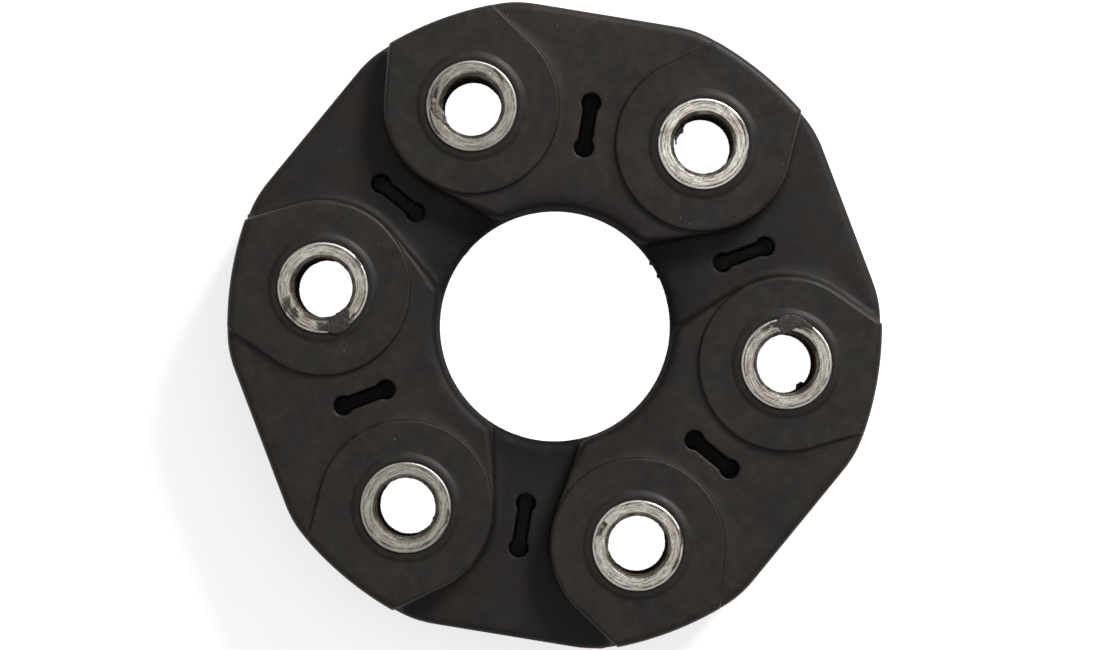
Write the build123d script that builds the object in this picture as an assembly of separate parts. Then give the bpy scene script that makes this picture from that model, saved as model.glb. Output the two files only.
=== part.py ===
from build123d import *
import os
from math import cos, radians, sin, sqrt

# A six-bolt rubber flex disc, the flexible coupling between the flanges of two shafts.
# Lengths are in millimetres and angles in degrees. The disc's axis is +Z and its middle plane is at z = 0.
# Bush 1 lies on +X and the others follow anticlockwise, seen from the front, which is +Z.
# Between two bushes the rubber is a web. A cord loop inside it joins the two bushes, in the front layer at one web
# and in the rear layer at the next, so each web is high on one face of the disc and low on the other.

# Bolt circle and bushes
bush_count = 6
bolt_circle = 96.0
bush_length = 32.0
bush_diameter = 18.6
bolt_hole = 12.2
hole_chamfer = 0.7
bush_end_chamfer = 0.3

# Outline of the rubber and its central bore
rim_diameter = 134.0
across_flats = 129.0
rim_corner_radius = 22.0
bore_diameter = 47.6
bore_land = 10.0
bore_flare = 0.6
edge_radius = 1.4

# Bosses round the bushes
boss_radius = 18.0
boss_lean = 26.0
bush_stand_out = 1.0
boss_step = 1.0
lip_width = 1.7
lip_height = 0.5
lip_chamfer = 0.3

# Low webs
pocket_depth = 8.0
pocket_wall_lean = 10.0
pocket_foot_radius = 1.5
pocket_mouth_radius = 3.5

# Slots in the webs
slot_length = 13.3
slot_end_diameter = 4.0
slot_neck_width = 2.9
slot_neck_radius = 1.0
slot_membrane = 2.0

# Cord loops, and the rings on each bush that keep the loops apart and in place
loop_thickness = 5.6
loop_corner_radius = 1.2
separator_thickness = 2.0
separator_width = 5.2
collar_thickness = 1.5
collar_width = 5.2
collar_edge_radius = 0.4
collar_cover = 1.7

# Heights above the middle plane
bush_face = bush_length / 2
boss_face = bush_face - bush_stand_out
web_face = boss_face - boss_step
pocket_floor = boss_face - pocket_depth
collar_top = boss_face - collar_cover
loop_top = collar_top - collar_thickness
loop_bottom = separator_thickness / 2
loop_height = loop_top - loop_bottom
web_middle = (web_face - pocket_floor) / 2

# Places in plan
bush_radius = bush_diameter / 2
bolt_radius = bolt_circle / 2
bush_pitch = 360 / bush_count
half_pitch = bush_pitch / 2
web_radius = bolt_radius * cos(radians(half_pitch))
half_span = bolt_radius * sin(radians(half_pitch))

# The foot of a low web's walls is rounded, but between two bosses a flat strip of the floor stays.
waist = half_span - boss_radius
least_floor = 0.5
foot_radius = min(pocket_foot_radius, waist - least_floor)

# A cutter reaches this far past the rubber that it cuts, and two lines in plan this close together are one.
clear_of_rubber = 4.0
same_line = 0.01


def turned(shape, steps):
    """The shape turned about the disc's axis by a number of bush pitches."""
    return Rot(0, 0, steps * bush_pitch) * shape


def rear(shape):
    """A front shape as it is on the rear: the disc turned over about bush 1's radial line looks the same."""
    return Rot(180, 0, 0) * shape


def heading(angle):
    """The unit vector in plan at an angle from +X."""
    return Vector(cos(radians(angle)), sin(radians(angle)))


def ring(inner, outer, bottom, top):
    """A flat ring about the Z axis."""
    return Pos(0, 0, bottom) * extrude(Circle(outer) - Circle(inner), top - bottom)


def rim_outline():
    """A circle with a flat across each web, and its corners softened: a smaller one, grown by the corner radius."""
    core_flat = across_flats / 2 - rim_corner_radius
    core_circle = Circle(rim_diameter / 2 - rim_corner_radius)
    core = core_circle & RegularPolygon(core_flat / cos(radians(half_pitch)), bush_count)
    return offset(core, rim_corner_radius)


def boss_outline():
    """The boss on +X: a round cheek with two straight edges that lean together and run out past the rim."""
    touch = heading(90 - boss_lean) * boss_radius
    run = (rim_diameter / 2 + clear_of_rubber - bolt_radius) / cos(radians(boss_lean))
    tip = touch + heading(-boss_lean) * run
    flank = Polyline((0, 0), (touch.X, touch.Y), (tip.X, tip.Y), (tip.X, -tip.Y), (touch.X, -touch.Y), close=True)
    return Pos(bolt_radius, 0) * (Circle(boss_radius) + make_face(flank))


def low_web_outline():
    """The low web on +X: along both bosses, in straight lines that lean apart, and round a corner into the bore."""
    boss_centre = Vector(web_radius, half_span)
    run_out = heading(half_pitch + boss_lean)
    outer_touch = boss_centre + heading(half_pitch + boss_lean - 90) * boss_radius
    outer_end = outer_touch + run_out * ((rim_diameter / 2 + clear_of_rubber - outer_touch.X) / run_out.X)
    nearest = boss_centre - Vector(0, boss_radius)
    run_in = heading(180 - pocket_wall_lean)
    inner_touch = boss_centre + heading(270 - pocket_wall_lean) * boss_radius
    away = heading(90 - pocket_wall_lean)
    bore_radius = bore_diameter / 2
    start = inner_touch + away * pocket_mouth_radius
    reach = bore_radius + pocket_mouth_radius
    run = -start.dot(run_in) - sqrt(start.dot(run_in) ** 2 - start.dot(start) + reach**2)
    corner = start + run_in * run
    wall_touch = corner - away * pocket_mouth_radius
    bore_touch = corner * (bore_radius / reach)
    corner_middle = corner - (away + corner.normalized()).normalized() * pocket_mouth_radius
    inner_end = corner.normalized() * (bore_radius - clear_of_rubber)
    wall = Line(outer_end, outer_touch)
    wall += ThreePointArc(outer_touch, nearest, inner_touch)
    wall += Line(inner_touch, wall_touch)
    wall += ThreePointArc(wall_touch, corner_middle, bore_touch)
    wall += Line(bore_touch, inner_end)
    rim_end = Line(outer_end, Vector(outer_end.X, -outer_end.Y))
    bore_end = Line(inner_end, Vector(inner_end.X, -inner_end.Y))
    return make_face(wall + mirror(wall, about=Plane.XZ) + rim_end + bore_end)


def slot_outline():
    """The slot on +X: a radial neck with a round end of larger diameter at each end."""
    end_offset = (slot_length - slot_end_diameter) / 2
    ends = [Pos(side * end_offset, 0) * Circle(slot_end_diameter / 2) for side in (-1, 1)]
    sharp = Rectangle(2 * end_offset, slot_neck_width) + ends
    neck_corners = [corner for corner in sharp.vertices() if abs(corner.X) < end_offset]
    return Pos(web_radius, 0) * fillet(neck_corners, slot_neck_radius)


def bore_cutter():
    """The central bore: a straight land in the middle of the thickness, opening gently towards both faces."""
    land = bore_diameter / 2
    reach = boss_face + clear_of_rubber
    mouth = land + bore_flare * (reach - bore_land / 2) / (boss_face - bore_land / 2)
    side = [(0, reach), (mouth, reach), (land, bore_land / 2), (land, -bore_land / 2), (mouth, -reach), (0, -reach)]
    return revolve(Plane.XZ * make_face(Polyline(*side, close=True)), Axis.Z)


def rounded_slab(outline, top):
    """An outline of the rubber filled up to one height, with the central bore and with rounded top edges."""
    slab = extrude(outline, top) - bore_cutter()
    return fillet(slab.edges().group_by(Axis.Z)[-1], edge_radius)


def web_cutter():
    """Clears the front down to the high webs' face, all round the bosses, and rounds that face's edges."""
    plan = Circle(rim_diameter / 2 + clear_of_rubber) - Circle(bore_diameter / 2 - clear_of_rubber)
    for step in range(bush_count):
        plan -= turned(boss_outline(), step)
    bottom = web_face - edge_radius
    block = Pos(0, 0, bottom) * extrude(plan, boss_face + clear_of_rubber - bottom)
    return block - rounded_slab(rim_outline(), web_face)


def low_web_cutter():
    """Clears the low web on +X down to its floor, with a wide fillet at the foot of each wall."""
    block = Pos(0, 0, pocket_floor) * extrude(low_web_outline(), boss_face + clear_of_rubber - pocket_floor)
    feet = [edge for edge in block.edges().group_by(Axis.Z)[0] if abs(edge.center().Y) > same_line]
    return fillet(feet, foot_radius)


def low_web_edge_cutter():
    """Rounds the floor of the low web on +X at the rim and at the bore, between the feet of its walls."""
    plan = offset(low_web_outline(), -foot_radius)
    bottom = pocket_floor - edge_radius
    block = Pos(0, 0, bottom) * extrude(plan, 2 * edge_radius)
    return block - rounded_slab(Rot(0, 0, half_pitch) * rim_outline(), pocket_floor)


def slot_cutter(face, middle):
    """One blind slot on +X, from above a web's face down to the membrane that is left in the web's middle."""
    bottom = middle + slot_membrane / 2
    return Pos(0, 0, bottom) * extrude(slot_outline(), face + clear_of_rubber - bottom)


def lip():
    """The low rubber lip that stands round one bush on the boss's face."""
    outer = bush_radius + lip_width
    band = ring(bush_radius, outer, boss_face, boss_face + lip_height)
    top_edges = band.edges().group_by(Axis.Z)[-1]
    return chamfer(top_edges.sort_by(SortBy.RADIUS)[-1], lip_chamfer)


def at_bush(shape, step):
    """A shape about the Z axis, moved to the bush that is a number of pitches round from bush 1."""
    return turned(Pos(bolt_radius, 0, 0) * shape, step)


def at_web(shape, step):
    """A shape on +X, turned to the web that follows the bush a number of pitches round from bush 1."""
    return Rot(0, 0, half_pitch + step * bush_pitch) * shape


def bush():
    """One turned steel bush with a chamfered bolt hole."""
    hole = bolt_hole / 2
    top = bush_face
    half = [(hole, 0), (hole, top - hole_chamfer), (hole + hole_chamfer, top)]
    half += [(bush_radius - bush_end_chamfer, top), (bush_radius, top - bush_end_chamfer), (bush_radius, 0)]
    upper = revolve(Plane.XZ * make_face(Polyline(*half, close=True)), Axis.Z)
    return upper + mirror(upper, about=Plane.XY)


def cord_loop():
    """One flat pack of cord wound round the bushes either side of the web on +X, in the front layer."""
    outer = SlotCenterToCenter(2 * half_span, 2 * (bush_radius + loop_thickness))
    inner = SlotCenterToCenter(2 * half_span, bush_diameter)
    solid = extrude(outer, loop_height)
    solid = fillet(solid.edges().group_by(Axis.Z)[0] + solid.edges().group_by(Axis.Z)[-1], loop_corner_radius)
    solid -= extrude(inner, loop_height)
    return Pos(web_radius, 0, loop_bottom) * (Rot(0, 0, 90) * solid)


def collar():
    """The ring at the front end of one bush that holds the cord loop down."""
    band = ring(bush_radius, bush_radius + collar_width, loop_top, collar_top)
    circles = band.edges().filter_by(GeomType.CIRCLE).sort_by(SortBy.RADIUS)
    return fillet(circles[-2:], collar_edge_radius)


def separator():
    """The ring in the middle of one bush that keeps its two cord loops apart."""
    return ring(bush_radius, bush_radius + separator_width, -loop_bottom, loop_bottom)


def inner_pieces():
    """Everything that is moulded into the rubber, by name. Loops on even pitches lie in the front layer."""
    pieces = {}
    for step in range(bush_count):
        number = step + 1
        front_loop = cord_loop()
        loop = front_loop if step % 2 == 0 else rear(front_loop)
        pieces[f"bush_{number}"] = at_bush(bush(), step)
        pieces[f"cord_loop_{number}"] = at_web(loop, step)
        pieces[f"separator_{number}"] = at_bush(separator(), step)
        pieces[f"front_collar_{number}"] = at_bush(collar(), step)
        pieces[f"rear_collar_{number}"] = at_bush(rear(collar()), step)
    return pieces


def front_half():
    """The rubber from the middle plane to the front, before the slots and before anything is seated in it."""
    half = extrude(rim_outline(), boss_face)
    half = fillet(half.edges().group_by(Axis.Z)[-1], edge_radius)
    half -= bore_cutter()
    half -= web_cutter()
    for step in range(1, bush_count, 2):
        half -= at_web(low_web_cutter(), step)
        half -= at_web(low_web_edge_cutter(), step)
    for step in range(bush_count):
        half += at_bush(lip(), step)
    return half


def rubber_body(pieces):
    """The moulded rubber disc, with a seat for each piece that it was moulded round."""
    half = front_half()
    body = half + rear(half)
    for step in range(0, bush_count, 2):
        for slot in (at_web(slot_cutter(web_face, web_middle), step),
                     at_web(slot_cutter(pocket_floor, -web_middle), step + 1)):
            body -= slot
            body -= rear(slot)
    for step in range(bush_count):
        body -= at_bush(Cylinder(bush_radius, bush_length + clear_of_rubber), step)
    for name, piece in pieces.items():
        if not name.startswith("bush"):
            body -= piece
    return body


os.makedirs("parts", exist_ok=True)
pieces = inner_pieces()
parts = {"rubber_body": rubber_body(pieces)} | pieces
for name, part in parts.items():
    export_step(part, f"parts/{name}.step")
    print(name, round(part.volume, 1))
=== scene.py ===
"""The looks of a six-bolt rubber flex disc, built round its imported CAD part.

Sizes in the code are millimetres, and make_piece() turns them into metres. The frame is the part's own: the
disc's axis is +Z, its middle plane is z = 0, and bush 1 lies on +X.
"""

import math
from functools import partial

import bmesh
import bpy
import numpy as np
from mathutils import Matrix, Vector


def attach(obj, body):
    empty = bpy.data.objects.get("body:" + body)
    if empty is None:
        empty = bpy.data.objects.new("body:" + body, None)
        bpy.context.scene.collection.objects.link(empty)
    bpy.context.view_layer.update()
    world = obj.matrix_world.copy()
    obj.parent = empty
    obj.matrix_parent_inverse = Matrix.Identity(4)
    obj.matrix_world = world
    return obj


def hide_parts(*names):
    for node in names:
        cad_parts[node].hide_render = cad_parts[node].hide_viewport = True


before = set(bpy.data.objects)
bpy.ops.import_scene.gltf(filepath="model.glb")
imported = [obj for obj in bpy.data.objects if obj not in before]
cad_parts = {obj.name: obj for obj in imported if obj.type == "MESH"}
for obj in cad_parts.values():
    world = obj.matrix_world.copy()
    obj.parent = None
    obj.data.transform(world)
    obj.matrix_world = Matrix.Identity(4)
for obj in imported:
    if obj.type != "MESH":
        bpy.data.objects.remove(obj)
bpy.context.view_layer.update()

MM = 0.001
# Points closer than this become one, and lengths closer than this are taken as equal, in millimetres
WELD = 0.0015
ALIKE = 0.004
# How far the front is turned anticlockwise in the camera's view, in degrees
PHOTO_TURN = 50.7

# Bushes. PITCH is the angle from one to the next
BUSH_COUNT = 6
BOLT_RADIUS = 48.0
PITCH = 60.0
HALF_PITCH = 30.0
BUSH_RADIUS = 9.3
BUSH_FACE = 16.0
HOLE_RADIUS = 6.1
HOLE_CHAMFER = 0.7
BUSH_END_CHAMFER = 0.3
# The steel's pattern is moved on by this much from bush to bush, so that no two look alike
PATTERN_SHIFT = 40.0

# Rubber: the rim and the bore
RIM_RADIUS = 67.0
APOTHEM = 64.5
RIM_CORNER = 22.0
BORE_RADIUS = 23.8
BORE_LAND = 5.0
BORE_FLARE = 0.6
# The flare fades out on the faces, up to this far from the disc's axis
FLARE_END = 30.0
FLARE_FADE = 6.0
# The roundings of the rim's and the bore's edges
EDGE = 1.4
BORE_EDGE = 1.9
# The bosses and the webs. BOSS_LEAN is the angle between a boss's straight edge and its radial line, and
# POCKET_LEAN is the angle between the wall beside a low web and the web's own axis
BOSS_RADIUS = 18.0
BOSS_LEAN = 26.0
BOSS_FACE = 15.0
WEB_FACE = 14.0
POCKET_FLOOR = 7.0
POCKET_LEAN = 10.0
# The roundings in a pocket: where its wall meets the floor, and in plan where its wall meets the bore
FOOT = 1.5
MOUTH = 3.5
# The roundings of the step round a boss, at its edge and at its foot, and of the top of a pocket's wall. That
# last one grows with the distance of the wall from the boss, past a start and up to a most
BOSS_EDGE = 0.5
STEP_FOOT = 0.15
WALL_EDGE = 0.9
WALL_GROWTH = 0.3
WALL_START = 1.5
WALL_MOST = 1.3
# The line in which a wall leaves its boss is reckoned up to this angle from the place where they touch
WALL_SWEEP = 80
# The lip round a bush, as radii and heights over the boss's face
LIP_SECTION = ((9.28, 0.4), (9.31, 0.46), (9.4, 0.5), (9.75, 0.5), (10.2, 0.46), (10.6, 0.35), (10.88, 0.22),
               (11.08, 0.1), (11.28, 0.02), (11.5, 0.0))
# The slots. The neck is given by half its width, and MEMBRANE is the rubber left between two opposite slots
SLOT_END = 2.0
SLOT_REACH = 4.65
SLOT_NECK = 1.45
SLOT_NECK_ROUND = 1.0
SLOT_EDGE = 0.3
MEMBRANE = 2.0
# Grid lines near a rounded edge, as distances from it: along the sector's edge, along a column and beside a
# slot. EVEN_STEPS is how many even steps lead up to them in a column
EDGE_STEPS = np.array([0, 0.08, 0.27, 0.6, 1.1, 1.9])
COLUMN_STEPS = np.array([0, 0.07, 0.25, 0.6, 1.1, 1.9])
SLOT_STEPS = np.array([0.06, 0.2, 0.45])
EVEN_STEPS = 3
# The shares of painted shade in a pocket and at the bore, and of painted shade and soil at a bush, how much
# less painted shade lies in a pocket at the rim, and the most
POCKET_SHADE = 0.45
BORE_SHADE = 0.45
BUSH_SHADE_AND_SOIL = 0.7
RIM_SHADE_RELIEF = 0.15
MOST_SHADE_AND_SOIL = 0.85

# Dark smears on the bushes' front ends, by bush: from and to in the picture's degrees, inner and outer
# radius, climb and strength
SMEARS = {
    1: ((-3, 37, 8.9, 9.2, 0, 0.7), (163, 172, 8.9, 9.3, 0, 0.6), (178, 184, 8.5, 8.9, 0, 0.6)),
    2: ((37, 60, 8.2, 8.75, 0.35, 1.0), (60, 104, 6.7, 7.15, 0, 0.8), (138, 176, 7.9, 8.8, 0, 0.7),
        (150, 186, 7.3, 8.3, -0.1, 0.9), (186, 224, 8.5, 9.0, 0.15, 0.85), (205, 242, 6.2, 6.7, 0, 1.0),
        (128, 150, 7.0, 7.5, 0, 0.5)),
    3: ((19, 42, 8.5, 9.1, 0.1, 0.75), (194, 214, 7.2, 9.0, 0.4, 0.85), (214, 232, 7.1, 8.8, 0.5, 0.8),
        (262, 286, 7.2, 9.1, 0, 0.95), (306, 322, 8.2, 9.1, -0.3, 0.7), (236, 334, 6.1, 6.9, 0, 0.9)),
    4: ((225, 352, 8.25, 8.6, 0, 0.75), (255, 415, 6.2, 7.3, 0, 0.55), (335, 358, 8.7, 9.2, 0, 0.9),
        (18, 72, 8.2, 8.5, 0.2, 0.5)),
    5: ((144, 151, 7.5, 8.7, 0, 0.95), (152, 166, 7.6, 8.6, 0, 0.85), (326, 343, 8.3, 9.1, 0, 0.85),
        (92, 104, 8.8, 9.2, 0, 0.6), (-2, 22, 8.9, 9.4, 0, 0.8)),
    6: ((98, 112, 7.7, 8.9, 0, 0.95), (112, 128, 7.9, 8.8, 0, 0.85), (50, 76, 7.6, 8.8, -0.2, 0.8),
        (22, 88, 6.1, 6.9, 0, 0.95), (96, 150, 6.9, 7.3, 0, 0.6)),
}
# How dull and brown each bush has gone, from 0 to 1
TARNISH = {1: 0.0, 2: 0.6, 3: 0.35, 4: 0.55, 5: 0.25, 6: 0.3}

# Torn flash at the bushes: bush, name, height above the middle plane, thickness, and the outline as
# directions in the picture with an inner and an outer radius
FILMS = (
    (6, "over_ring", 15.93, 0.14, (
        (52, 8.6, 9.1), (60, 8.3, 9.5), (68, 8.0, 9.8), (75, 7.5, 10.0), (81, 6.8, 10.1), (87, 6.1, 10.1),
        (93, 5.9, 10.1), (97, 6.0, 9.9), (101, 7.0, 9.4), (106, 8.0, 8.6))),
    (3, "over_ring", 15.93, 0.14, (
        (268, 8.0, 8.5), (275, 7.4, 9.0), (281, 6.7, 9.4), (287, 6.2, 9.9), (295, 6.0, 10.1), (304, 6.0, 9.9),
        (309, 6.0, 8.8), (315, 6.0, 7.7), (322, 6.1, 6.8))),
    (2, "curl", 15.9, 0.3, (
        (168, 7.3, 8.3), (176, 6.9, 8.5), (184, 6.3, 8.4), (191, 5.8, 8.1), (197, 5.6, 7.7), (203, 5.6, 7.2),
        (209, 5.9, 6.8), (216, 6.1, 6.5))),
    (1, "in_hole", 12.0, 0.3, (
        (118, 5.8, 6.12), (135, 5.3, 6.12), (150, 4.8, 6.12), (160, 5.2, 6.05), (170, 5.4, 5.95),
        (178, 5.45, 5.75), (182, 5.6, 5.7))),
    (6, "in_hole", 2.0, 0.5, (
        (293, 5.9, 6.12), (299, 5.0, 6.12), (305, 4.85, 6.12), (312, 4.95, 6.12), (319, 5.8, 6.12))),
    (4, "in_hole", 14.0, 0.4, ((335, 6.0, 6.14), (339, 5.8, 6.14), (343, 6.0, 6.14))),
)
# Nibs on the parting line: direction in the picture, height and half width in degrees
RIM_NIBS = ((160.2, 0.5, 0.5), (-19.4, 0.5, 0.5), (-82.0, 0.25, 1.6), (-65.8, 0.4, 0.9), (54.7, 0.2, 3.0),
            (-120.0, 0.15, 2.0))
BORE_NIBS = ((33.2, 0.5, 0.9), (25.7, 0.4, 1.1), (140.0, 0.15, 3.0))

# How far the middle of a slot lies from the disc's axis
WEB_RADIUS = BOLT_RADIUS * math.cos(math.radians(HALF_PITCH))


# Helpers


def linear(hex_colour):
    """The linear RGBA of an sRGB hex colour."""
    parts = [int(hex_colour[i:i + 2], 16) / 255 for i in (0, 2, 4)]
    return [p / 12.92 if p <= 0.04045 else ((p + 0.055) / 1.055) ** 2.4 for p in parts] + [1.0]


def unit(degrees):
    """Unit vectors in plan at angles from +X."""
    a = np.radians(degrees)
    return np.stack([np.cos(a), np.sin(a)], axis=-1)


def grid_faces(points, closed=False, ring=False):
    """Quads of a grid of points kept row by row.

    The last column may be joined to the first, and in a ring the last row is joined to the first as well.
    """
    rows, columns = points.shape[:2]
    index = np.arange(rows * columns).reshape(rows, columns)
    if closed or ring:
        index = np.concatenate([index, index[:, :1]], axis=1)
    if ring:
        index = np.concatenate([index, index[:1]])
    a, b, c, d = index[:-1, :-1], index[:-1, 1:], index[1:, 1:], index[1:, :-1]
    return np.stack([a, b, c, d], axis=-1).reshape(-1, 4)


def joined(sheets):
    """Several (points, quads) sheets as one."""
    start, points, faces = 0, [], []
    for sheet_points, sheet_faces in sheets:
        points.append(sheet_points.reshape(-1, 3))
        faces.append(sheet_faces + start)
        start += len(points[-1])
    return np.concatenate(points), np.concatenate(faces)


def make_piece(name, points, faces, material, nodes=(), attributes=()):
    """A smooth mesh object from points in millimetres and quads.

    Points that meet become one, faces that fold up to nothing go, and the faces are turned outwards.
    """
    mesh = bpy.data.meshes.new(name)
    mesh.from_pydata((points.reshape(-1, 3) * MM).tolist(), [], faces.tolist())
    for label, kind, values in attributes:
        layer = mesh.attributes.new(label, kind, "POINT")
        field = "vector" if kind == "FLOAT_VECTOR" else "value"
        layer.data.foreach_set(field, np.ascontiguousarray(values, dtype=np.float32).reshape(-1))
    shell = bmesh.new()
    shell.from_mesh(mesh)
    bmesh.ops.remove_doubles(shell, verts=shell.verts, dist=WELD * MM)
    bmesh.ops.recalc_face_normals(shell, faces=shell.faces)
    shell.to_mesh(mesh)
    shell.free()
    mesh.validate()
    mesh.polygons.foreach_set("use_smooth", np.ones(len(mesh.polygons), dtype=bool))
    mesh.materials.append(material)
    piece = bpy.data.objects.new(name, mesh)
    bpy.context.scene.collection.objects.link(piece)
    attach(piece, "root")
    if nodes:
        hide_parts(*nodes)
    return piece


# The rubber's plan


def rim_radius(from_web):
    """Distance from the disc's axis to the rim at an angle in degrees from the nearest web's axis.

    Up to the flat's end it is the apothem over the cosine. Then it is the far crossing of the ray with a
    circle of the corner's radius that touches the flat and the rim, and from there on the rim's radius.
    """
    a = np.radians(np.abs(from_web))
    reach = RIM_RADIUS - RIM_CORNER
    cx = APOTHEM - RIM_CORNER
    cy = math.sqrt(reach**2 - cx**2)
    along = cx * np.cos(a) + cy * np.sin(a)
    corner = along + np.sqrt(np.maximum(along**2 - reach**2 + RIM_CORNER**2, 0))
    flat_end, arc_start = math.atan2(cy, APOTHEM), math.atan2(cy, cx)
    return np.where(a < flat_end, APOTHEM / np.cos(a), np.where(a < arc_start, corner, RIM_RADIUS))


def from_web_axis(points):
    """Polar radius, and angle in degrees from the nearest web's axis, of points given with the bush on +X."""
    radius = np.hypot(points[..., 0], points[..., 1])
    angle = np.degrees(np.arctan2(points[..., 1], points[..., 0]))
    return radius, HALF_PITCH - np.abs(angle)


def web_point(along, across):
    """A point given along and across the web's axis at +30 degrees, with across towards the bush on +X."""
    e = unit(HALF_PITCH)
    n = unit(HALF_PITCH - 90)
    return np.asarray(along)[..., None] * e + np.asarray(across)[..., None] * n


def half_slot():
    """Half of a slot's outline, from its outer pole to its inner one, along and across the web's axis.

    A round end, a small arc of the other hand into the neck, the straight neck, and the same again in
    reverse.
    """
    rise = SLOT_NECK + SLOT_NECK_ROUND
    span = SLOT_END + SLOT_NECK_ROUND
    back = math.sqrt(span**2 - rise**2)
    join = math.degrees(math.atan2(rise, -back))
    end = unit(np.linspace(0, join, 10)) * SLOT_END + [SLOT_REACH, 0]
    turn = unit(np.linspace(join - 180, -90, 3)[1:]) * SLOT_NECK_ROUND + [SLOT_REACH - back, rise]
    outer = np.concatenate([end, turn])
    straight = np.linspace(SLOT_REACH - back, back - SLOT_REACH, 4)[1:-1]
    neck = np.stack([straight, np.full(2, SLOT_NECK)], axis=-1)
    inner = outer[::-1] * [-1, 1]
    line = np.concatenate([outer, neck, inner])
    return line[:, 0] + WEB_RADIUS, line[:, 1]


def rim_crossing():
    """The angle from a bush's radial line at which a boss's straight edge meets the rim."""
    touch = BOSS_RADIUS * unit(90 - BOSS_LEAN) + [BOLT_RADIUS, 0]
    run = unit(-BOSS_LEAN)
    b = touch @ run
    far = -b + math.sqrt(b**2 - touch @ touch + RIM_RADIUS**2)
    tip = touch + far * run
    return math.degrees(math.atan2(tip[1], tip[0]))


def pocket_mouth():
    """The corner between a low web's wall and the bore: its round's centre, and where it meets the two.

    The centre lies a mouth's radius outside the wall's line and as far outside the bore, so it is where a
    line beside the wall crosses a circle round the bore.
    """
    touch = BOSS_RADIUS * unit(240 - POCKET_LEAN) + [BOLT_RADIUS, 0]
    run, away = unit(150 - POCKET_LEAN), unit(60 - POCKET_LEAN)
    start = touch + MOUTH * away
    along = start @ run
    centre = start + run * (-along - math.sqrt(along**2 - start @ start + (BORE_RADIUS + MOUTH) ** 2))
    return centre, centre - MOUTH * away, centre * BORE_RADIUS / (BORE_RADIUS + MOUTH)


def sector_edge():
    """The closed edge of one bush's 60 degree sector, anticlockwise from the rim, and its spans.

    The points crowd where a step, a wall or a rounding crosses the edge. The spans say how many points lie on
    the rim and on the web's axis, where the slot starts, and how many points it has.
    """
    at_rim = rim_crossing()
    rim_angles = np.concatenate([
        np.linspace(0, at_rim - 1.4, 6), at_rim + np.array([-0.9, -0.45, -0.15, 0, 0.15, 0.4]),
        at_rim + np.arange(0.8, 4.1, 0.65), np.linspace(at_rim + 4.9, HALF_PITCH, 10)])
    _, on_wall, on_bore = pocket_mouth()
    wall_end, mouth_end = (-math.degrees(math.atan2(point[1], point[0])) for point in (on_wall, on_bore))
    bore_angles = np.concatenate([
        np.linspace(0, mouth_end - 0.6, 4), mouth_end + np.array([-0.25, 0, 0.25]),
        np.linspace(mouth_end + 0.6, wall_end + 5.0, 15), np.linspace(wall_end + 6.2, HALF_PITCH, 6)])
    rim = unit(rim_angles) * rim_radius(HALF_PITCH - rim_angles)[:, None]
    slot_along, slot_across = half_slot()
    outer = np.concatenate([
        APOTHEM - EDGE_STEPS[1:], np.linspace(APOTHEM - 2.8, slot_along[0] + 1.0, 5),
        slot_along[0] + SLOT_STEPS[::-1]])
    inner = np.concatenate([
        slot_along[-1] - SLOT_STEPS, np.linspace(slot_along[-1] - 1.0, BORE_RADIUS + 2.8, 4),
        BORE_RADIUS + EDGE_STEPS[:0:-1]])
    along = np.concatenate([outer, slot_along, inner])
    web = web_point(along, np.concatenate([outer * 0, slot_across, inner * 0]))
    bore = unit(bore_angles[::-1]) * BORE_RADIUS
    upper = np.concatenate([rim, web, bore])
    lower = upper[::-1][1:-1] * [1, -1]
    edge = np.concatenate([upper, lower])
    spans = {
        "rim": len(rim), "web": len(web), "slot_from": len(rim) + len(outer), "slot_points": len(slot_along)}
    return edge, spans


def slot_gap(points):
    """Distance in plan outside a slot's outline, for points with the bush on +X.

    It is the distance to the nearer of its two round ends and its neck. Beyond the ends the neck is out of
    reach.
    """
    on_high_side = points * np.where(points[..., 1:] < 0, [1, -1], [1, 1])
    along = np.abs(on_high_side @ unit(HALF_PITCH) - WEB_RADIUS)
    across = np.abs(on_high_side @ unit(HALF_PITCH - 90))
    end = np.hypot(along - SLOT_REACH, across) - SLOT_END
    neck = np.where(along < SLOT_REACH, across - SLOT_NECK, np.inf)
    return np.minimum(end, neck)


def rounded_drop(gap, radius):
    """How far a rounded edge lies under its face, by the distance inside that edge: a quarter circle."""
    inside = np.clip(radius - gap, 0, radius)
    return radius - np.sqrt(radius**2 - inside**2)


def spaced(start, stop):
    """Places from start to stop for each column: a few even ones, then the fine ones that end at stop."""
    length = np.maximum(stop - start, 0)
    fine = np.minimum(COLUMN_STEPS[-1] * 1.05, 0.6 * length)
    even = np.linspace(0, 1, EVEN_STEPS, endpoint=False)[1:, None] * (length - fine)
    close = length - fine * (COLUMN_STEPS[::-1, None] / COLUMN_STEPS[-1])
    return start + np.concatenate([even, close])


def bore_flare(z):
    """How much wider the bore is at a height than at its land: a straight line from its end to the face."""
    return BORE_FLARE * np.clip((np.abs(z) - BORE_LAND) / (BOSS_FACE - BORE_LAND), 0, 1)


def spread_at_slots(aim, spans):
    """The columns' directions near the bush.

    Next to a slot's poles the columns aim almost the same way, so there each takes the mean of its neighbours
    a few times over, which spreads them out.
    """
    even = aim
    for _ in range(6):
        even = (np.roll(even, 1) + 2 * even + np.roll(even, -1)) / 4
    column = np.arange(len(aim))
    from_end = np.minimum(column, len(aim) - column)
    middle = spans["slot_from"] + (spans["slot_points"] - 1) / 2
    inside = spans["slot_points"] / 2 + 6 - np.abs(from_end - middle)
    return aim + (even - aim) * np.clip(inside / 4, 0, 1)


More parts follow.
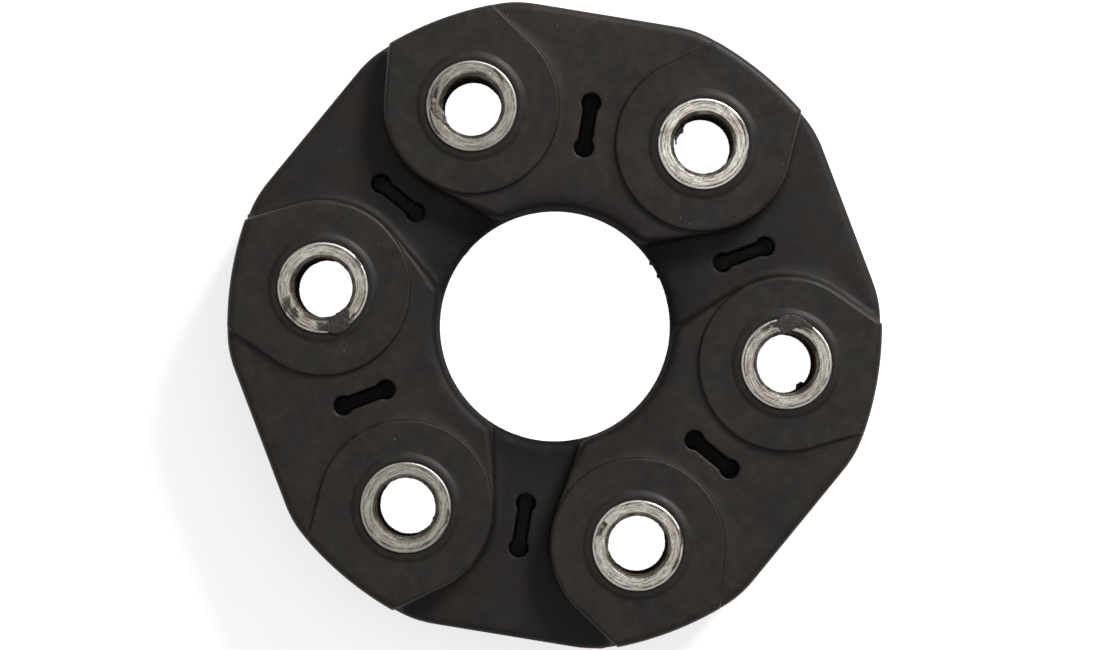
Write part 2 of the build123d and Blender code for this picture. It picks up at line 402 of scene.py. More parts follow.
def sector_front():
    """The front of one bush's sector, with its high web on the +Y side, as a grid of profiles by columns.

    Each column runs from the bush to a point of the sector's edge. Along it lie the lip, the boss's face, the
    small step down to the web, and on the low side the wall of the pocket with its foot. Whatever passes the
    edge is cut off there, and the roundings of the rim, the bore and the slots come off the height at the
    end.
    """
    edge, spans = sector_edge()
    centre = np.array([BOLT_RADIUS, 0.0])
    ray = edge - centre
    reach = np.hypot(ray[:, 0], ray[:, 1])
    aim = np.degrees(np.unwrap(np.arctan2(ray[:, 1], ray[:, 0])))
    aim_in = spread_at_slots(aim, spans)
    way = unit(aim_in)
    off = np.abs((aim_in + 180) % 360 - 180) - (90 - BOSS_LEAN)
    boss = np.where(off < 0, BOSS_RADIUS / np.cos(np.radians(off)), BOSS_RADIUS)
    boss = np.where(np.abs(boss - reach) < ALIKE, reach, boss)
    # The wall's plan in the low web's own directions, where 270 degrees points straight at the web's axis
    across, along = (way @ (unit(direction) * [1, -1]) for direction in (HALF_PITCH - 90, HALF_PITCH))
    to_low_web = np.mod(np.degrees(np.arctan2(across, along)), 360)
    turn = (270 - POCKET_LEAN) - to_low_web
    inward = (turn > 0) & (turn < WALL_SWEEP)
    wall = np.where(inward, BOSS_RADIUS / np.cos(np.radians(np.where(inward, turn, 0))), boss)
    round_centre, on_wall, on_bore = pocket_mouth()
    mouth_from, mouth_to = (
        np.degrees(np.arctan2(*(point - centre)[::-1])) % 360 for point in (on_wall, on_bore))
    offset = round_centre - centre
    toward = way @ offset
    past_round = toward + np.sqrt(np.maximum(toward**2 - np.sum(offset**2) + MOUTH**2, 0))
    at_mouth = (aim_in % 360 <= mouth_from) & (aim_in % 360 >= mouth_to)
    wall = np.where(at_mouth & (edge[:, 1] < 0), past_round, wall)
    low = (edge[:, 1] < 0) & (wall < reach + ALIKE)
    wall = np.where(low, np.minimum(wall, reach), reach + 5)
    # The wall's top edge is crisp again where it meets the bore
    to_bore = np.clip((aim_in % 360 - mouth_to) / (mouth_from - mouth_to), 0, 1) * inward
    wall_round = WALL_EDGE + np.clip(WALL_GROWTH * (wall - boss - WALL_START), 0, WALL_MOST) * to_bore * low
    squeeze = np.clip((wall - boss) / (wall_round + STEP_FOOT), 0, 1)
    boss_round = BOSS_EDGE + (WALL_EDGE - BOSS_EDGE) * low * (1 - squeeze)
    ones = np.ones_like(reach)

    quarter = np.radians([0, 22, 45, 68, 90])
    rows = [(r * ones, (BOSS_FACE + z) * ones) for r, z in LIP_SECTION]
    face_end = np.minimum(boss - boss_round, reach)
    for r in spaced(LIP_SECTION[-1][0], face_end):
        rows.append((r, BOSS_FACE * ones))
    for q in quarter[1:]:
        rows.append((boss - boss_round * (1 - math.sin(q)), BOSS_FACE - boss_round * (1 - math.cos(q))))
    foot = STEP_FOOT * squeeze
    for q in quarter[::2]:
        rows.append((boss + foot * (1 - math.cos(q)), WEB_FACE + foot * (1 - math.sin(q))))
    top = wall_round * squeeze
    shoulder = np.minimum(wall - top, reach)
    for r in spaced(boss + foot, shoulder):
        rows.append((r, WEB_FACE * ones))
    for q in quarter[1:]:
        rows.append((wall - top * (1 - math.sin(q)), WEB_FACE - top * (1 - math.cos(q))))
    for q in np.radians([0, 14, 30, 52, 90]):
        rows.append((wall + FOOT * (1 - math.cos(q)), POCKET_FLOOR + FOOT * (1 - math.sin(q)) * ones))
    for r in spaced(wall + FOOT, np.maximum(reach, wall + FOOT)):
        rows.append((r, POCKET_FLOOR * ones))
    r, z = (np.array(values) for values in zip(*rows))
    r = np.maximum.accumulate(r, axis=0)
    # Past the edge each column stands still, at the height at which it crosses it
    past = r > reach + 1e-9
    first = np.where(past.any(axis=0), past.argmax(axis=0), len(r) - 1)[None]
    r0, r1 = np.take_along_axis(r, first - 1, 0), np.take_along_axis(r, first, 0)
    z0, z1 = np.take_along_axis(z, first - 1, 0), np.take_along_axis(z, first, 0)
    at_edge = z0 + (z1 - z0) * np.clip((reach - r0) / np.maximum(r1 - r0, 1e-9), 0, 1)
    z = np.where(past, at_edge, z)
    r = np.minimum(r, reach)
    settle = np.clip((r - BOSS_RADIUS - FOOT) / np.maximum(reach - BOSS_RADIUS - FOOT, 0.1), 0, 1)
    plan = centre + r[..., None] * unit(aim_in + (aim - aim_in) * settle)
    radius, turned = from_web_axis(plan)
    z = z - rounded_drop(np.maximum(rim_radius(turned) - radius, 0), EDGE)
    z = z - rounded_drop(np.maximum(radius - BORE_RADIUS, 0), BORE_EDGE)
    z = z - rounded_drop(np.maximum(slot_gap(plan), 0), SLOT_EDGE)
    flare = bore_flare(z) * np.clip((FLARE_END - radius) / FLARE_FADE, 0, 1)
    plan = plan * (1 + flare / radius)[..., None]
    return np.concatenate([plan, z[..., None]], axis=-1), edge, spans


def on_disc(points, step, rear=False):
    """A sector's points as they lie on the disc.

    They are mirrored at every other bush, turned to it, and for the rear turned over about bush 1's radial
    line.
    """
    points = points.copy()
    if step % 2:
        points[..., 1] *= -1
    spin = Matrix.Rotation(math.radians(step * PITCH), 3, "Z")
    if rear:
        spin = Matrix.Rotation(math.pi, 3, "X") @ spin
    return points @ np.array(spin).T


def rim_wall(top, bottom):
    """The rim, straight down between the faces' edges, with the mould's parting line as a low ridge."""
    ridge = np.array([0.6, 0.28, 0.1, 0, -0.1, -0.28, -0.6])
    height = np.array([0, 0.01, 0.04, 0.05, 0.04, 0.01, 0])
    down = np.linspace(1, 0, 4)[:-1, None]
    upper = ridge[0] + down * (top[:, 2] - ridge[0])
    lower = ridge[-1] + down[::-1] * (bottom[:, 2] - ridge[-1])
    z = np.concatenate([upper, np.repeat(ridge[:, None], len(top), axis=1), lower])
    swell = np.concatenate([np.zeros(3), height, np.zeros(3)])[:, None]
    radius = np.hypot(top[:, 0], top[:, 1])
    plan = top[None, :, :2] * (1 + swell / radius)[..., None]
    return np.concatenate([plan, z[..., None]], axis=-1)


def bore_wall(top, bottom):
    """The bore between the faces' edges: a straight land in the middle, and a gentle flare either side."""
    way = top[:, :2] / np.hypot(top[:, 0], top[:, 1])[:, None]
    share = np.linspace(0, 1, 12)[:, None]
    z = top[:, 2] + share * (bottom[:, 2] - top[:, 2])
    return np.concatenate([(BORE_RADIUS + bore_flare(z))[..., None] * way, z[..., None]], axis=-1)


def slot_pit(rim, bottom, side):
    """Half of one blind slot: straight walls from its rim to the membrane, then flat to the web's axis."""
    share = np.linspace(0, 1, 6)[:, None]
    z = rim[:, 2] + share * (bottom - rim[:, 2])
    walls = np.concatenate([np.repeat(rim[None, :, :2], 6, axis=0), z[..., None]], axis=-1)
    axis = unit(HALF_PITCH) * [1, side]
    on_axis = (rim[:, :2] @ axis)[:, None] * axis
    floor = np.stack([(rim[:, :2] + on_axis) / 2, on_axis])
    floor = np.concatenate([floor, np.full(floor.shape[:2] + (1,), float(bottom))], axis=-1)
    return np.concatenate([walls, floor])


def painted_shade_and_soil(points):
    """How much painted shade, and near the steel soil as well, darkens the moulded face at each point, from 0
    to 1.

    It is the sum of three shares, up to a most. The first is painted shade for lying down in a pocket: it
    fades in between 1.2 and 4.2 mm under the webs' face, fades out again between 5 and 3 mm over the middle
    plane, and lessens from 46 mm off the disc's axis out to the rim. The second is painted shade at the bore,
    and grows from
    33 mm off the axis to its full size at 26 mm. The third is painted shade and soil at the steel, and grows
    from
    10.1 mm off a bush's axis to its full size half a millimetre further in.
    """
    radius = np.hypot(points[..., 0], points[..., 1])
    in_pocket = np.clip((WEB_FACE - points[..., 2] - 1.2) / 3, 0, 1) * np.clip((points[..., 2] - 3) / 2, 0, 1)
    at_bore = np.clip((33 - radius) / 7, 0, 1)
    own = np.hypot(points[..., 0] - BOLT_RADIUS, points[..., 1])
    at_steel = np.clip((10.1 - own) / 0.5, 0, 1)
    outward = np.clip((radius - 46) / 14, 0, 1)
    share = in_pocket * (POCKET_SHADE - RIM_SHADE_RELIEF * outward) + BORE_SHADE * at_bore + BUSH_SHADE_AND_SOIL * at_steel
    return np.minimum(share, MOST_SHADE_AND_SOIL)


def rubber_body(material):
    """The whole moulded disc: twelve sectors, six to a face, and what lies between the two faces.

    The rim, the bore and the bushes' seats run through from face to face, so each sector has them once.
    """
    front, edge, spans = sector_front()
    count = len(edge)
    mirror = (-np.arange(count)) % count
    last, first = front[-1], front[0]
    flipped = np.array([1, -1, -1])
    below, below_first = last[mirror] * flipped, first[mirror] * flipped
    rim = np.arange(1 - spans["rim"], spans["rim"]) % count
    half_bore = spans["rim"] + spans["web"]
    bore = np.arange(half_bore, count - half_bore + 1)
    slot = np.arange(spans["slot_from"], spans["slot_from"] + spans["slot_points"])
    middle = (WEB_FACE - POCKET_FLOOR) / 2
    high_bottom, low_bottom = middle + MEMBRANE / 2, MEMBRANE / 2 - middle
    # Each sheet of points, whether it closes on itself, and whether each face has one of its own
    sheets = [
        (front, True, True),
        (rim_wall(last[rim], below[rim]), False, False),
        (bore_wall(last[bore], below[bore]), False, False),
        (slot_pit(last[slot], high_bottom, 1), False, True),
        (slot_pit(last[mirror][slot], low_bottom, -1), False, True),
        (np.stack([first, below_first]), True, False)]
    # Each point carries its painted shade, with soil near the steel, as an attribute
    placed, shade_and_soil = [], []
    for step in range(BUSH_COUNT):
        for points, closed, on_both in sheets:
            for rear in (False, True) if on_both else (False,):
                placed.append((on_disc(points, step, rear), grid_faces(points, closed)))
                shade_and_soil.append(painted_shade_and_soil(points).reshape(-1))
    points, faces = joined(placed)
    return make_piece("moulded_rubber", points, faces, material, ["rubber_body"],
                      [("shade_and_soil", "FLOAT", np.concatenate(shade_and_soil))])


# Bushes


def bush_profile():
    """Half of a bush's section, from its middle over the front end and back, as radii and heights."""
    hole, outer, top = HOLE_RADIUS, BUSH_RADIUS, BUSH_FACE
    inner_line = [(hole, z) for z in np.linspace(0, top - HOLE_CHAMFER - 0.05, 8)]
    chamfer = [(hole + 0.01, top - HOLE_CHAMFER), (hole + 0.05, top - HOLE_CHAMFER + 0.06),
               (hole + HOLE_CHAMFER / 2, top - HOLE_CHAMFER / 2), (hole + HOLE_CHAMFER - 0.06, top - 0.05),
               (hole + HOLE_CHAMFER, top)]
    face = [(r, top) for r in np.linspace(hole + HOLE_CHAMFER + 0.08, outer - BUSH_END_CHAMFER - 0.08, 9)]
    corner = [(outer - BUSH_END_CHAMFER, top), (outer - 0.12, top - 0.06), (outer - 0.03, top - 0.16),
              (outer, top - BUSH_END_CHAMFER)]
    side = [(outer, z) for z in np.linspace(top - BUSH_END_CHAMFER - 0.08, 0, 5)]
    return np.array(inner_line + chamfer + face + corner + side)


def from_photo(degrees):
    """A direction in the disc's frame, from one read off the front as it hangs in the camera's view."""
    return np.asarray(degrees) - PHOTO_TURN


def residue(number, own):
    """How much dark residue lies at each point of a bush's front end, from 0 to 1.

    Each smear is a patch of the ring between two directions and two radii, and a smear that climbs moves
    outwards as it goes round. The distances to its middle, round the ring and across it, are taken as shares
    of its half widths. Up to two thirds of the larger one the smear has its full strength, and at 1.35 it has
    run out.
    """
    radius = np.hypot(own[:, 0], own[:, 1])
    turn = np.degrees(np.arctan2(own[:, 1], own[:, 0]))
    level = np.zeros(len(own))
    for start, stop, inner, outer, climb, strength in SMEARS[number]:
        half = (stop - start) / 2
        aside = (turn - from_photo((start + stop) / 2) + 180) % 360 - 180
        middle = (inner + outer) / 2 + climb * aside / half
        share = np.maximum(np.abs(aside) / half, np.abs(radius - middle) / ((outer - inner) / 2))
        level = np.maximum(level, strength * np.clip(1.5 * (1.35 - share), 0, 1))
    return np.where(own[:, 2] > 0, level, 0)


def bush(number, material):
    """One turned bush: its section carried round its own axis, front half and rear half."""
    half = bush_profile()
    whole = np.concatenate([half[::-1] * [1, -1], half[1:-1]])
    around = np.radians(np.arange(180) * 2.0)
    r, z = whole[:, 0][:, None], whole[:, 1][:, None]
    own = np.stack([r * np.cos(around), r * np.sin(around), z + 0 * around], axis=-1)
    centre = np.append(BOLT_RADIUS * unit(PITCH * (number - 1)), 0)
    points = own + centre
    own = own.reshape(-1, 3)
    attributes = [
        ("own_place", "FLOAT_VECTOR", (own + [0, 0, PATTERN_SHIFT * number]) * MM),
        ("residue", "FLOAT", residue(number, own)),
        ("tarnish", "FLOAT", np.full(len(own), TARNISH[number]))]
    return make_piece(f"steel_bush_{number}", points, grid_faces(points, ring=True), material,
                      [f"bush_{number}"], attributes)


def ragged(angle, size, seed):
    """A rough line's departure at angles in degrees: five sines whose lengths don't divide each other."""
    phase = np.radians(angle)
    waves = [(11.3, 1.0), (23.7, 0.8), (41.9, 0.6), (77.3, 0.45), (131.1, 0.3)]
    return size * sum(part * np.sin(rate * phase + seed * (1.7 + rate)) for rate, part in waves) / 2.2


def flash_film(number, label, outline, level, thickness, material):
    """A torn film of moulding flash about a bush's axis.

    The outline gives a direction, an inner and an outer radius at each of its points, with straight lines
    between them. The section is a flat oval: the cosine of its angle runs from the outer radius to the inner
    one, and the sine, raised to 0.4 so that the oval is blunt, gives the height. Both edges are ragged, and
    the film narrows to a point at its two ends.
    """
    directions, inner, outer = (np.array(column, dtype=float) for column in zip(*outline))
    turn = np.linspace(directions[0], directions[-1], int((directions[-1] - directions[0]) / 0.8) + 2)
    ends = np.clip(np.minimum(turn - turn[0], turn[-1] - turn) / 3, 0, 1) ** 0.5
    low = np.interp(turn, directions, inner) + ragged(turn, 0.13, number)
    high = np.interp(turn, directions, outer) + ragged(turn, 0.11, number + 3)
    half_width = np.maximum(high - low, 0.05) / 2 * ends
    section = np.radians(np.arange(0, 360, 22.5))[:, None]
    across = (low + high) / 2 + half_width * np.cos(section)
    rise = np.sign(np.sin(section)) * np.abs(np.sin(section)) ** 0.4
    z = level + thickness * ends * rise * np.where(rise > 0, 1 + ragged(turn * 0.7, 0.2, number + 5), 0.4)
    plan = across[..., None] * unit(from_photo(turn)) + BOLT_RADIUS * unit(PITCH * (number - 1))
    points = np.concatenate([plan, z[..., None]], axis=-1).transpose(1, 0, 2)
    return make_piece(f"flash_{number}_{label}", points, grid_faces(points, closed=True), material)


def hole_skin(number, material):
    """A dark brown skin on a bolt hole's wall, as a thin closed sleeve.

    Its inner radius is a rough function of direction and height, and its outer face lies just inside the
    steel. It ends a little way inside the hole, and thins out towards both ends.
    """
    margin, thinning, thinnest = 0.9, 1.2, 0.03
    turn = np.arange(0, 360, 3.0)
    height = np.linspace(-BUSH_FACE + margin, BUSH_FACE - margin, 14)
    taper = np.clip((BUSH_FACE - margin - np.abs(height)) / thinning, 0, 1)[:, None]
    rough = 0.05 + ragged(turn, 0.07, number) + ragged(height[:, None] * 40, 0.03, number)
    inner = HOLE_RADIUS - (thinnest + taper * np.maximum(rough, 0))
    radii = np.concatenate([inner, np.full((2, len(turn)), HOLE_RADIUS + 0.06)])
    z = np.concatenate([height, height[[-1, 0]]])[:, None] + 0 * turn
    plan = radii[..., None] * unit(turn) + BOLT_RADIUS * unit(PITCH * (number - 1))
    points = np.concatenate([plan, z[..., None]], axis=-1).transpose(1, 0, 2)
    return make_piece(f"hole_skin_{number}", points, grid_faces(points, ring=True), material)


def parting_fin(name, plan_radius, outward, nibs, material):
    """The thin ragged fin that the mould leaves along its parting line at z = 0, on the rim or on the bore.

    Its height is a rough line, clipped at nothing, and each nib adds a bell curve, given as a direction, a
    height and a half width in degrees. The section is a flat wedge with a blunt tip, and its root lies inside
    the rubber.
    """
    turn = np.arange(0, 360, 0.3)
    height = np.maximum(0.04 + ragged(turn, 0.06, 2.0), 0.0)
    for direction, nib_height, nib_width in nibs:
        aside = (turn - from_photo(direction) + 180) % 360 - 180
        height = height + nib_height * np.exp(-((aside / nib_width) ** 2)) * (1 + ragged(turn * 3, 0.3, 1.0))
    root = plan_radius(turn) - 0.05 * outward
    tip = plan_radius(turn) + outward * height
    lift = 0.08 + 0.35 * height
    radii = np.stack([root, tip, tip, root])
    z = np.stack([lift, 0.3 * lift, -0.3 * lift, -lift])
    points = np.concatenate([radii[..., None] * unit(turn), z[..., None]], axis=-1).transpose(1, 0, 2)
    return make_piece(name, points, grid_faces(points, ring=True), material)


# Materials


def node(tree, kind, inputs=(), **settings):
    """Adds a shader node. Its inputs come by name or in their order.

    Each is a value, a hex colour, the output that feeds it, or a node, whose first output in use then feeds
    it.
    """
    made = tree.nodes.new("ShaderNode" + kind)
    for key, value in settings.items():
        setattr(made, key, value)
    for key, value in inputs.items() if isinstance(inputs, dict) else enumerate(inputs):
        if isinstance(value, bpy.types.Node):
            value = next(output for output in value.outputs if output.enabled)
        if isinstance(value, bpy.types.NodeSocket):
            tree.links.new(value, made.inputs[key])
        else:
            made.inputs[key].default_value = linear(value) if isinstance(value, str) else value
    return made


def empty_tree(owner):
    """Clears the nodes of a material or a world, and gives back what adds a node to it."""
    owner.use_nodes = True
    owner.node_tree.nodes.clear()
    return partial(node, owner.node_tree)


def off_axis(add, place):
    """The three parts of a place, and its distance from the Z axis."""
    parts = add("SeparateXYZ", [place]).outputs
    flat = add("CombineXYZ", (parts["X"], parts["Y"]))
    return parts, add("VectorMath", [flat], operation="LENGTH")


def layered(add, colour, layers):
    """A colour under layers of other colours, each laid on by its own share."""
    for share, over in layers:
        colour = add("Mix", {"Factor": share, "A": colour, "B": over}, data_type="RGBA")
    return colour


def moulded_rubber():
    """Carbon-black natural rubber, compression moulded: near black and a little warm.

    It has brown and green-black clouds of bloom, a fine moulded grain, pale dust here and there, painted
    shade that makes it darker and duller in the pockets and at the bore, painted shade and soil that do the
    same at the steel, and a sheen that the rounded edges catch.
    """
    material = bpy.data.materials.new("moulded_natural_rubber")
    add = empty_tree(material)
    place = add("TexCoord").outputs["Object"]
    shade_and_soil = add("Attribute", attribute_name="shade_and_soil").outputs["Fac"]
    clouds = add("TexNoise", {"Vector": place, "Scale": 1 / (11 * MM), "Detail": 4.0, "Roughness": 0.55})
    smudges = add("TexNoise", {"Vector": place, "Scale": 1 / (2.6 * MM), "Detail": 5.0, "Roughness": 0.65})
    grain = add("TexNoise", {"Vector": place, "Scale": 1 / (0.45 * MM), "Detail": 2.0})
    cells = add("TexVoronoi", {"Vector": place, "Scale": 1 / (2.4 * MM)})
    hue = add("SeparateColor", [clouds.outputs["Color"]]).outputs
    warm = add("MapRange", (hue["Red"], 0.42, 0.62))
    cool = add("Math", (add("MapRange", (hue["Green"], 0.44, 0.66)), 0.6), operation="MULTIPLY")
    greyed = add("Math", (add("MapRange", (smudges, 0.45, 0.75)), 0.55), operation="MULTIPLY")
    # Dust lies in the middle of about one cell in seven
    pick = add("SeparateColor", [cells.outputs["Color"]]).outputs["Red"]
    few = add("Math", (pick, 0.86), operation="GREATER_THAN")
    dust = add("Math", (add("MapRange", (cells, 0.09, 0.04)), few), operation="MULTIPLY")
    dust = add("Math", (dust, 0.6), operation="MULTIPLY")
    # Painted shade in the pockets and at the bore, and painted shade with soil at the steel, darken the
    # colour in clouds
    patchy_shade_and_soil = add("Math", (shade_and_soil, add("MapRange", (clouds, 0.25, 0.55, 0.7, 1.15))), operation="MULTIPLY")
    colour = layered(add, "191411", (
        (warm, "261b16"), (cool, "1a1d18"), (greyed, "332d29"), (dust, "6e6c62"), (patchy_shade_and_soil, "070504")))
    dull = add("Math", (shade_and_soil, 0.3), operation="MULTIPLY")
    rough = add("Math", (add("MapRange", (smudges, 0.3, 0.7, 0.42, 0.56)), dull), operation="ADD")
    relief = None
    for height, distance, strength in ((clouds, 0.2, 0.5), (smudges, 0.07, 0.6), (grain, 0.04, 0.5)):
        under = {"Normal": relief} if relief else {}
        relief = add("Bump", {"Height": height, "Distance": distance * MM, "Strength": strength, **under})
    shader = add("BsdfPrincipled", {"Base Color": colour, "Roughness": rough, "Specular IOR Level": 0.3,
                                    "Normal": relief})
    add("OutputMaterial", {"Surface": shader})
    return material


def turned_steel():
    """Cold-drawn free-cutting steel, faced on a lathe: a warm grey with streaky rings left by the tool.

    It has a scored groove and a painted highlight line at the outer edge, a brown tarnish, and streaky dark
    smears of rubber. The real tool marks are 0.1 mm apart, and these are 0.25 mm apart, so that they show.
    """
    material = bpy.data.materials.new("turned_free_cutting_steel")
    add = empty_tree(material)
    place = add("Attribute", attribute_name="own_place").outputs["Vector"]
    dirt = add("Attribute", attribute_name="residue").outputs["Fac"]
    tarnish = add("Attribute", attribute_name="tarnish").outputs["Fac"]
    parts, radius = off_axis(add, place)
    turn = add("Math", (parts["Y"], parts["X"]), operation="ARCTAN2")
    sweep = add("CombineXYZ", [
        add("Math", pair, operation="MULTIPLY")
        for pair in ((radius, 1 / (0.25 * MM)), (turn, 2.2), (parts["Z"], 60.0))])
    rings = add("TexNoise", {"Vector": sweep, "Scale": 1.0, "Detail": 5.0, "Roughness": 0.75})
    specks = add("TexNoise", {"Vector": place, "Scale": 1 / (0.45 * MM), "Detail": 4.0, "Roughness": 0.7})
    clouds = add("TexNoise", {"Vector": place, "Scale": 1 / (3.0 * MM), "Detail": 3.0})
    scratch_way = add("Mapping", {"Vector": place, "Rotation": (0, 0, 0.7), "Scale": (1.0, 9.0, 1.0)})
    scratches = add("TexNoise", {"Vector": scratch_way, "Scale": 1 / (2.2 * MM), "Detail": 3.0})
    streaks, specked, scratched = (
        add("Math", pair, operation="MULTIPLY") for pair in ((rings, 0.7), (specks, 0.15), (scratches, 0.15)))
    texture = add("Math", (streaks, specked), operation="ADD")
    texture = add("Math", (texture, scratched), operation="ADD")
    browned = add("Math", (add("MapRange", (clouds, 0.45, 0.65)), 0.3), operation="MULTIPLY")
    # Each band lies between two radii, and a pattern breaks it up
    groove = add("Math", (add("MapRange", (radius, 8.45 * MM, 8.6 * MM)),
                          add("MapRange", (radius, 8.9 * MM, 8.8 * MM))), operation="MULTIPLY")
    broken = add("MapRange", (add("Math", (rings, clouds), operation="ADD"), 0.9, 1.1))
    # The last of these bands is a painted highlight, a near-white line along the outer edge
    scored, stained, painted_highlight = (
        add("Math", pair, operation="MULTIPLY") for pair in (
            (groove, broken),
            (add("MapRange", (radius, 6.95 * MM, 6.75 * MM)), add("MapRange", (clouds, 0.3, 0.6, 0.1, 0.8))),
            (add("MapRange", (radius, 8.85 * MM, 8.95 * MM)), add("MapRange", (clouds, 0.35, 0.55)))))
    # The dark residue frays out along the tool's rings and at its specks
    frayed = dirt
    for pattern, strength in ((rings, 4.2), (specks, 1.4)):
        swing = add("Math", (pattern, 0.5), operation="SUBTRACT")
        swing = add("Math", (swing, strength), operation="MULTIPLY")
        frayed = add("Math", (frayed, swing), operation="ADD")
    smear = add("Math", (add("MapRange", (frayed, 0.35, 0.8)), add("MapRange", (dirt, 0.02, 0.25))),
                operation="MULTIPLY")
    soot = layered(add, "1a1512", [(add("MapRange", (specks, 0.35, 0.65)), "352b25")])
    colour = layered(add, "7a7168", (
        (add("MapRange", (texture, 0.42, 0.56)), "faf5ec"), (browned, "97866f"), (scored, "4d463f"),
        (stained, "52483f"), (painted_highlight, "f8f4ee"), (tarnish, "7a746d"), (smear, soot)))
    metal = add("Math", (1.0, add("Math", (smear, 0.95), operation="MULTIPLY")), operation="SUBTRACT")
    dull = add("Math", (smear, 0.35), operation="MULTIPLY")
    rough = add("Math", (add("MapRange", (texture, 0.35, 0.65, 0.3, 0.5)), dull), operation="ADD")
    marks = add("Bump", {"Height": texture, "Distance": 0.04 * MM, "Strength": 0.6})
    shader = add("BsdfPrincipled", {"Base Color": colour, "Metallic": metal, "Roughness": rough,
                                    "Normal": marks})
    add("OutputMaterial", {"Surface": shader})
    return material


def dark_brown_skin():
    """A dark brown film on a hole's wall: quite matt, with paler scuffs."""
    material = bpy.data.materials.new("dark_brown_hole_skin")
    add = empty_tree(material)
    place = add("TexCoord").outputs["Object"]
    patches = add("TexNoise", {"Vector": place, "Scale": 1 / (1.8 * MM), "Detail": 5.0, "Roughness": 0.7})
    scuffs = add("Math", (add("MapRange", (patches, 0.62, 0.7)), 0.7), operation="MULTIPLY")
    colour = layered(add, "3a2d25", ((add("MapRange", (patches, 0.4, 0.66)), "6d594a"), (scuffs, "b3a595")))
    relief = add("Bump", {"Height": patches, "Distance": 0.08 * MM})
    shader = add("BsdfPrincipled", {"Base Color": colour, "Roughness": 0.85, "Specular IOR Level": 0.15,
                                    "Normal": relief})
    add("OutputMaterial", {"Surface": shader})
    return material


def torn_rubber(name, lumps):
    """Rubber torn off against steel: browner than the moulded skin, and rough, with folds scuffed paler."""
    material = bpy.data.materials.new(name)
    add = empty_tree(material)
    place = add("TexCoord").outputs["Object"]
    folds = add("TexNoise", {"Vector": place, "Scale": 1 / (0.9 * MM), "Detail": 4.0, "Roughness": 0.65})
    colour = layered(add, "1d1714", [(add("MapRange", (folds, 0.4, 0.62)), lumps)])
    relief = add("Bump", {"Height": folds, "Distance": 0.25 * MM})
    shader = add("BsdfPrincipled", {"Base Color": colour, "Roughness": 0.5, "Normal": relief})
    add("OutputMaterial", {"Surface": shader})
    return material


def in_two_shades(add, pattern, dark, light, relief, roughness):
    """A shader that runs between two colours with a pattern, which also gives the relief, in millimetres."""
    colour = add("ValToRGB", [pattern])
    for stop, shade in zip(colour.color_ramp.elements, (dark, light)):
        stop.color = linear(shade)
    raised = add("Bump", {"Height": pattern, "Distance": relief * MM})
    shader = add("BsdfPrincipled", {"Base Color": colour, "Roughness": roughness, "Normal": raised})
    add("OutputMaterial", {"Surface": shader})


def wound_cord():
    """Polyester tyre cord dipped in adhesive and wound in flat packs: tan, in fine even turns."""
    material = bpy.data.materials.new("dipped_polyester_cord")
    add = empty_tree(material)
    place = add("TexCoord").outputs["Object"]
    turns = add("TexWave", {"Vector": place, "Scale": 1 / (6 * MM), "Distortion": 1.0, "Detail": 2.0},
                bands_direction="Z")
    in_two_shades(add, turns.outputs["Fac"], "6b4a32", "a98763", 0.3, 0.8)
    return material


def moulded_nylon():
    """Glass-filled black nylon, injection moulded: satin, with a faint flow grain."""
    material = bpy.data.materials.new("moulded_black_nylon")
    add = empty_tree(material)
    place = add("TexCoord").outputs["Object"]
    grain = add("TexNoise", {"Vector": place, "Scale": 1 / (1.5 * MM), "Detail": 3.0})
    in_two_shades(add, grain, "1d1d1e", "2b2b2c", 0.04, 0.45)
    return material


def pale_floor():
    """A plain pale sweep. To the camera and through glass it shows white by itself.

    Within 60 mm of the disc's axis it shows full white to the camera, a painted light that washes the disc's
    shadow out of the bore and the holes; further out it still takes the object's shadow. Metal and rubber
    show it dimmer, and dimmest right under the disc, as painted shade for where it lies in the disc's shade.
    """
    material = bpy.data.materials.new("pale_sweep")
    add = empty_tree(material)
    path = add("LightPath").outputs
    seen = add("Math", (path["Is Camera Ray"], path["Is Transmission Ray"]), operation="MAXIMUM")
    _, radius = off_axis(add, add("TexCoord").outputs["Object"])
    # To the camera, painted light: full white within 60 mm of the axis, hiding the disc's shadow there. In
    # reflections, painted shade under the disc
    to_eye, to_gloss = (
        add("Math", (ray, add("MapRange", (radius, 60 * MM, *fade))), operation="MULTIPLY")
        for ray, fade in ((seen, (66 * MM, 1.0, 0.65)), (path["Is Glossy Ray"], (110 * MM, 0.05, 0.4))))
    glow = add("Emission", {"Strength": add("Math", (to_eye, to_gloss), operation="ADD")})
    matt = add("BsdfDiffuse", {"Color": "f2f2f0"})
    add("OutputMaterial", {"Surface": add("AddShader", (glow, matt))})
    return material


# The studio


PHOTO_RIGHT = Vector((*unit(-PHOTO_TURN), 0))
PHOTO_UP = Vector((*unit(90 - PHOTO_TURN), 0))


def added(name, data):
    """A new object of the scene."""
    made = bpy.data.objects.new(name, data)
    bpy.context.scene.collection.objects.link(made)
    return made


def add_floor():
    """A flat pale sheet just under the rear bush ends, 3 m across."""
    size, level = 1500.0, -BUSH_FACE - 0.01
    corners = np.array([[x * size, y * size, level] for x, y in ((-1, -1), (1, -1), (1, 1), (-1, 1))])
    mesh = bpy.data.meshes.new("floor")
    mesh.from_pydata((corners * MM).tolist(), [], [[0, 1, 2, 3]])
    mesh.materials.append(pale_floor())
    added("floor", mesh)


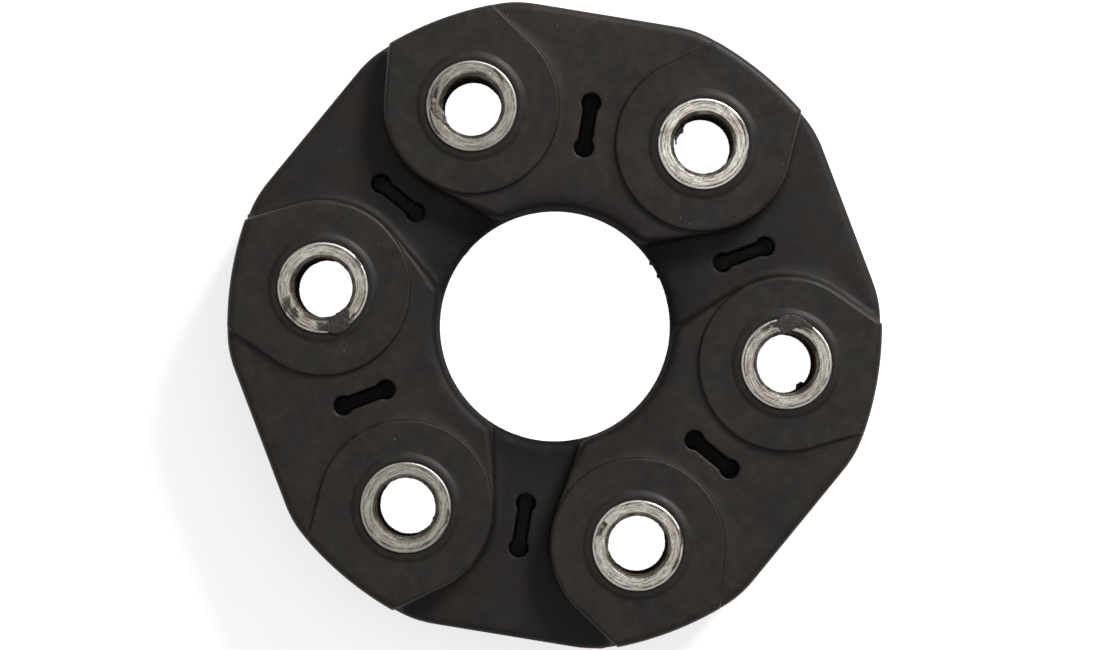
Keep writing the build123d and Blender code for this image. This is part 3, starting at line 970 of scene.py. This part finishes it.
def add_camera():
    """A long lens 1.27 m over the front, rolled so that +X points up to the right in the picture.

    The camera stands a little down and right of the disc's axis, and aims a hair to the left of it.
    """
    data = bpy.data.cameras.new("camera")
    data.lens = 203.6
    data.clip_start, data.clip_end = 0.05, 20.0
    camera = added("camera", data)
    front = BUSH_FACE * MM
    place = PHOTO_RIGHT * 0.0027 - PHOTO_UP * 0.0097 + Vector((0, 0, 1.27 + front))
    aim = PHOTO_RIGHT * -0.00094 + PHOTO_UP * 0.00013 + Vector((0, 0, front))
    back = (place - aim).normalized()
    right = PHOTO_UP.cross(back).normalized()
    turn = Matrix([right, back.cross(right), back]).transposed()
    camera.matrix_world = Matrix.Translation(place) @ turn.to_4x4()
    bpy.context.scene.camera = camera


def add_softbox(name, place, size, power):
    """A square area lamp at a place in metres, turned to the disc."""
    data = bpy.data.lights.new(name, "AREA")
    data.shape = "SQUARE"
    data.size = size
    data.energy = power
    lamp = added(name, data)
    lamp.location = place
    lamp.rotation_mode = "QUATERNION"
    lamp.rotation_quaternion = Vector(place).to_track_quat("Z", "Y")


def add_world():
    """Even pale light from all round, white to the camera and through glass, and half as bright in metal."""
    world = bpy.data.worlds.new("studio")
    add = empty_tree(world)
    path = add("LightPath").outputs
    seen = add("Math", (path["Is Camera Ray"], path["Is Transmission Ray"]), operation="MAXIMUM")
    in_metal = add("Math", (path["Is Glossy Ray"], 0.23), operation="MULTIPLY")
    seen = add("Math", (seen, in_metal), operation="MAXIMUM")
    light = add("Background", {"Strength": add("MapRange", (seen, 0.0, 1.0, 0.35, 1.0))})
    add("OutputWorld", {"Surface": light})
    bpy.context.scene.world = world


# The whole


rubber = moulded_rubber()
steel = turned_steel()
skin = dark_brown_skin()
torn = torn_rubber("torn_rubber_film", "2c2320")
scuffed = torn_rubber("torn_scuffed_rubber", "94877e")
cord = wound_cord()
nylon = moulded_nylon()

rubber_body(rubber)
for bush_number in range(1, BUSH_COUNT + 1):
    bush(bush_number, steel)
    hole_skin(bush_number, skin)
for bush_number, label, level, thickness, outline in FILMS:
    flash_film(bush_number, label, outline, level, thickness, scuffed if label == "curl" else torn)
parting_fin("rim_fin", lambda turn: rim_radius(turn % PITCH - HALF_PITCH), 1, RIM_NIBS, rubber)
parting_fin("bore_fin", lambda turn: BORE_RADIUS + 0 * turn, -1, BORE_NIBS, rubber)

# The part's own solids, by how their names start. The rings between the cords are nylon
solid_finishes = {"rubber_body": rubber, "bush": steel, "cord_loop": cord}
for name, cad_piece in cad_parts.items():
    finish = next((made for start, made in solid_finishes.items() if name.startswith(start)), nylon)
    for cad_slot in cad_piece.material_slots:
        cad_slot.material = finish

add_floor()
add_camera()
add_world()
add_softbox("key", PHOTO_UP * 0.80 + PHOTO_RIGHT * 0.60 + Vector((0, 0, 0.84)), 0.4, 16.5)
add_softbox("overhead", Vector((0, 0, 1.6)), 1.2, 1.9)
bpy.context.scene.view_settings.view_transform = "Standard"
